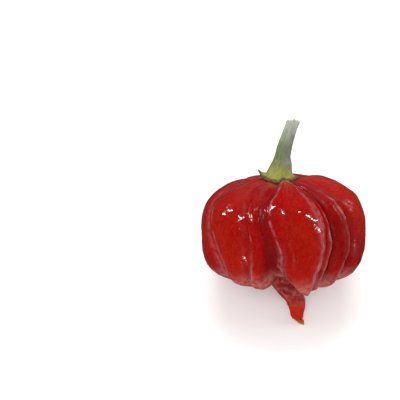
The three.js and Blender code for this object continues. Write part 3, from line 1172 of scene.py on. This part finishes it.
@dataclass(frozen=True)
class SkinFinish:
    """The pod's waxy red skin, orange at its tip, with painted shade in its creases, painted highlights along
    their lips and a painted pale reflection of the floor below.
    """

    effects: Effects
    body: Triple = (0.355, 0.0015, 0.0006)
    ripe: Triple = (0.45, 0.013, 0.0015)
    # Deep red, also laid as painted shade in the creases and in the nick.
    deep: Triple = (0.16, 0.0010, 0.0015)
    # Pale, laid as a painted highlight along the lips and a painted sheen beside the creases, and as a pale
    # tint on the pimples and the crown.
    pale: Triple = (0.52, 0.20, 0.22)
    # A painted pale reflection of the floor, on the underside and the tail's root.
    floor_reflection: Triple = (0.62, 0.23, 0.21)
    lower_tail: Triple = (0.52, 0.018, 0.002)
    tip: Triple = (0.64, 0.17, 0.03)
    patches: Mottle = Mottle(Pattern.EVEN, 9 * MM, 3.0)
    clouds: Mottle = Mottle(Pattern.EVEN, 1.6 * MM, 2.5)
    wrinkles: Mottle = Mottle(Pattern.EVEN, 1.1 * MM, 3.0)
    streaks: Mottle = Mottle(Pattern.STREAKED, 0.9 * MM, 3.5)
    flecks: Mottle = Mottle(Pattern.EVEN, 0.5 * MM, 4.0)
    pimple_size: float = 0.42 * MM
    roughness: float = 0.1
    dull_roughness: float = 0.32
    specular: float = 0.06
    coat: float = 0.52
    dull_coat: float = 0.0156
    coat_roughness: float = 0.07
    bump: Pair = (0.14, 0.07 * MM)

    def material(self) -> bpy.types.Material:
        """Builds the material.

        Returns:
            The material.
        """
        paint = Paint("pod_skin", self.body)
        place = paint.node("TexCoord").outputs["Object"]
        fibre = paint.attribute("fibre", "Vector")
        groove, lip, border, tail, nick = map(paint.attribute, ("groove", "lip", "border", "tail", "nick"))
        under, crown, ripeness, dull = map(paint.attribute, ("under", "crown", "ripe", "dull"))
        patches, clouds, wrinkles = (
            self.effects.spots(paint, mottle, place) for mottle in (self.patches, self.clouds, self.wrinkles)
        )
        streaks, flecks = (self.effects.spots(paint, mottle, fibre) for mottle in (self.streaks, self.flecks))
        pimples = paint.put(self.effects.pimples, {"Place": place, "Size": self.pimple_size})

        tone = paint.sum("ADD", ripeness, paint.between(patches, -0.175, 0.175))
        hollows = paint.sum("SUBTRACT", 1.0, wrinkles)
        upper_tail = paint.product(paint.ramp(tail, 0.0, 0.06), paint.ramp(tail, 0.56, 0.36))
        paint.lay(self.ripe, paint.ramp(tone, 0.35, 1.0))
        paint.lay(self.deep, paint.ramp(tone, 0.45, -0.1), 0.6)
        # Painted shade in the creases.
        paint.lay(self.deep, paint.ramp(groove, 0.15, 1.0), 0.7)
        paint.lay(self.deep, clouds, streaks, 0.85)
        paint.lay(self.deep, flecks, 0.45)
        paint.lay(self.ripe, streaks, ripeness, 0.4)
        paint.lay(self.pale, pimples["Mask"], 0.05)
        # Painted pale reflection of the floor on the underside and the tail's root, broken by the wrinkles
        # mottle.
        paint.lay(self.floor_reflection, under, paint.between(wrinkles, 0.2, 0.7))
        # Painted sheen beside the creases, broken by the wrinkles mottle.
        paint.lay(self.pale, border, paint.between(wrinkles, 0.02, 0.42))
        paint.lay(self.pale, crown, streaks, 0.15)
        # Painted highlight along the lips.
        paint.lay(self.pale, lip, paint.between(clouds, 0.7, 1.1))
        paint.lay(self.lower_tail, paint.ramp(tail, 0.4, 0.6), 0.85)
        paint.lay(self.deep, upper_tail, hollows, 0.7)
        paint.lay(self.tip, paint.ramp(tail, 0.72, 0.88))
        # Painted shade in the nick.
        paint.lay(self.deep, nick)
        relief = paint.sum("MULTIPLY_ADD", streaks, 0.6, pimples["Height"])
        paint.emboss(paint.sum("MULTIPLY_ADD", clouds, 1.2, relief), *self.bump)
        return paint.finish(
            {
                "Roughness": paint.between(dull, self.roughness, self.dull_roughness),
                "Specular IOR Level": self.specular,
                "Coat Weight": paint.between(dull, self.coat, self.dull_coat),
                "Coat Roughness": self.coat_roughness,
            }
        )


@dataclass(frozen=True)
class StemFinish:
    """The green of the calyx and the stem, yellow where it flares and brown along the calyx's edge."""

    effects: Effects
    flare: Triple = (0.31, 0.305, 0.045)
    middle: Triple = (0.155, 0.195, 0.065)
    grey: Triple = (0.17, 0.18, 0.14)
    top: Triple = (0.42, 0.435, 0.37)
    dark: Triple = (0.08, 0.09, 0.03)
    brown: Triple = (0.10, 0.05, 0.018)
    pith: Triple = (0.5, 0.5, 0.34)
    clouds: Mottle = Mottle(Pattern.EVEN, 1.2 * MM, 2.5)
    streaks: Mottle = Mottle(Pattern.STREAKED, 0.45 * MM, 3.0)
    pimple_size: float = 0.2 * MM
    roughness: Pair = (0.5, 0.65)
    specular: float = 0.3
    bump: Pair = (0.6, 0.05 * MM)

    def material(self) -> bpy.types.Material:
        """Builds the material.

        Returns:
            The material.
        """
        paint = Paint("green_stem", self.flare)
        place = paint.node("TexCoord").outputs["Object"]
        along, out, greyness = map(paint.attribute, ("along", "out", "grey"))
        clouds = self.effects.spots(paint, self.clouds, place)
        streaks = self.effects.spots(paint, self.streaks, paint.attribute("fibre", "Vector"))
        pimples = paint.put(self.effects.pimples, {"Place": place, "Size": self.pimple_size})

        edge = paint.ramp(paint.sum("MULTIPLY_ADD", clouds, 0.2, out), 0.84, 0.98)
        paint.lay(paint.tint(greyness, self.middle, self.grey), paint.ramp(along, 0.04, 0.42))
        paint.lay(self.top, paint.ramp(along, 0.5, 1.0))
        paint.lay(self.dark, streaks, clouds, 0.6)
        paint.lay(self.brown, edge, 0.85)
        paint.lay(self.pith, paint.ramp(along, 1.04, 1.2))
        paint.emboss(paint.sum("MULTIPLY_ADD", streaks, 1.5, pimples["Height"]), *self.bump)
        rough = paint.between(clouds, *self.roughness)
        return paint.finish({"Roughness": rough, "Specular IOR Level": self.specular})


@dataclass
class Floor:
    """The plain pale floor, far wider than the view, lit a little from within as a light table is."""

    size: float = 8.0
    under: float = 0.02 * MM
    colour: Triple = (0.97, 0.97, 0.97)
    roughness: float = 0.9
    glow: float = 0.14

    def build(self) -> None:
        """Adds the floor just under the pepper."""
        bpy.ops.object.select_all(action="DESELECT")
        bpy.ops.mesh.primitive_plane_add(size=self.size, location=(0, 0, -self.under))
        floor = bpy.context.object
        floor.name = "floor"
        floor.visible_glossy = False
        bpy.ops.object.transform_apply(location=True)
        glow = {"Emission Color": self.colour, "Emission Strength": self.glow}
        floor.data.materials.append(Paint("floor", self.colour).finish({"Roughness": self.roughness, **glow}))
        LOG.info("floor: %.1f m wide", self.size)


class Role(Enum):
    """What a lamp is for: to light what it shines on, or to glint in the gloss."""

    FILL = "fill"
    GLINT = "glint"


@dataclass(frozen=True)
class Lamp:
    """A studio lamp that faces the pepper.

    Args:
        name: Its name.
        role: What it is for.
        azimuth: Its direction in degrees from the front, rightwards.
        elevation: How high it stands over the floor, in degrees.
        width: The width of its panel.
        height: The height of its panel.
        power: Its power in watts.
        distance: How far it is from the pepper.
    """

    name: str
    role: Role
    azimuth: float
    elevation: float
    width: float
    height: float
    power: float
    distance: float = 0.9

    def build(self, aim: Vector) -> None:
        """Adds the lamp.

        Args:
            aim: The place that it faces.
        """
        turn, tilt = math.radians(self.azimuth), math.radians(self.elevation)
        out = Vector((math.sin(turn) * math.cos(tilt), -math.cos(turn) * math.cos(tilt), math.sin(tilt)))
        bpy.ops.object.light_add(type="AREA", location=aim + out * self.distance)
        lamp = bpy.context.object
        lamp.name = self.name
        lamp.rotation_euler = out.to_track_quat("Z", "Y").to_euler()
        lamp.visible_diffuse = self.role is Role.FILL
        lamp.visible_glossy = self.role is Role.GLINT
        lamp.data.shape = "RECTANGLE"
        lamp.data.size = self.width
        lamp.data.size_y = self.height
        lamp.data.energy = self.power


@dataclass
class Studio:
    """The light round the pepper: an even room, dim in the gloss and white to the camera, and its lamps."""

    room_strength: float = 0.48
    mirrored_strength: float = 0.05
    seen_strength: float = 0.98
    lamps: tuple[Lamp, ...] = (
        Lamp("front", Role.FILL, 0, 52, 0.5, 0.5, 2.6),
        Lamp("top", Role.FILL, 180, 62, 0.6, 0.6, 4.4),
        Lamp("left side", Role.FILL, -95, 35, 0.5, 0.5, 1.5),
        Lamp("right side", Role.FILL, 95, 35, 0.5, 0.5, 1.5),
        Lamp("left strip", Role.GLINT, -117, 30, 0.03, 0.3, 4.2),
        Lamp("left high", Role.GLINT, -68, 65, 0.26, 0.02, 2.6),
        Lamp("right strip", Role.GLINT, 102, 22, 0.03, 0.3, 4.2),
        Lamp("right high", Role.GLINT, 108, 56, 0.03, 0.06, 0.9),
        Lamp("right low", Role.GLINT, 88, 8, 0.03, 0.11, 1.5),
        Lamp("low glint", Role.GLINT, -8, 12, 0.02, 0.03, 0.2),
    )

    def build(self, aim: Vector) -> None:
        """Lights the room and adds the lamps.

        Args:
            aim: The place that they face.
        """
        world = bpy.data.worlds.new("studio")
        world.use_nodes = True
        bench = Bench(world.node_tree)
        path = bench.node("LightPath").outputs
        seen = bench.sum("MULTIPLY", path["Is Camera Ray"], self.seen_strength - self.room_strength)
        mirrored = bench.sum("MULTIPLY", path["Is Glossy Ray"], self.mirrored_strength - self.room_strength)
        strength = bench.sum("ADD", bench.sum("ADD", seen, mirrored), self.room_strength)
        bench.feed(world.node_tree.nodes["Background"], {"Color": (1.0, 1.0, 1.0), "Strength": strength})
        bpy.context.scene.world = world
        for lamp in self.lamps:
            lamp.build(aim)
        bpy.context.scene.view_settings.view_transform = "Standard"
        LOG.info("studio: %d lamps", len(self.lamps))


@dataclass
class View:
    """The camera, which looks down on the pepper as the photograph does."""

    elevation: float = math.radians(52)
    distance: float = 0.42
    image: int = 400
    target_pixel: Pair = (281, 232)
    pixels_per_metre: float = 4340
    sensor: float = 36.0
    nearest: float = 0.01

    def build(self, target: Vector) -> None:
        """Adds the camera.

        Args:
            target: The place that shows at the target pixel.
        """
        back = Vector((0, -math.cos(self.elevation), math.sin(self.elevation)))
        right = Vector((1, 0, 0))
        up = back.cross(right)
        aside, below = (pixel - self.image / 2 for pixel in self.target_pixel)
        aim = target - right * aside / self.pixels_per_metre + up * below / self.pixels_per_metre
        eye = target + back * self.distance
        back = (eye - aim).normalized()
        right = up.cross(back).normalized()
        axes = Matrix((right, back.cross(right), back)).transposed()
        bpy.ops.object.camera_add(location=eye)
        camera = bpy.context.object
        camera.name = "camera"
        camera.rotation_euler = axes.to_euler()
        camera.data.sensor_width = self.sensor
        camera.data.lens = self.sensor * self.distance * self.pixels_per_metre / self.image
        camera.data.clip_start = self.nearest
        bpy.context.scene.camera = camera
        LOG.info("camera: %.0f mm lens", camera.data.lens)


def main() -> None:
    """Builds the pepper, the floor, the light and the camera."""
    logging.basicConfig(level=logging.INFO, format="%(name)s: %(message)s")
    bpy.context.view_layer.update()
    lie = Lie()
    effects = Effects()
    target = Vector(lie.middle)
    View().build(target)
    pod = Pod().build(lie, SkinFinish(effects))
    CalyxAndStem().build(lie, pod, StemFinish(effects))
    Floor().build()
    Studio().build(target)


if __name__ == "__main__":
    main()
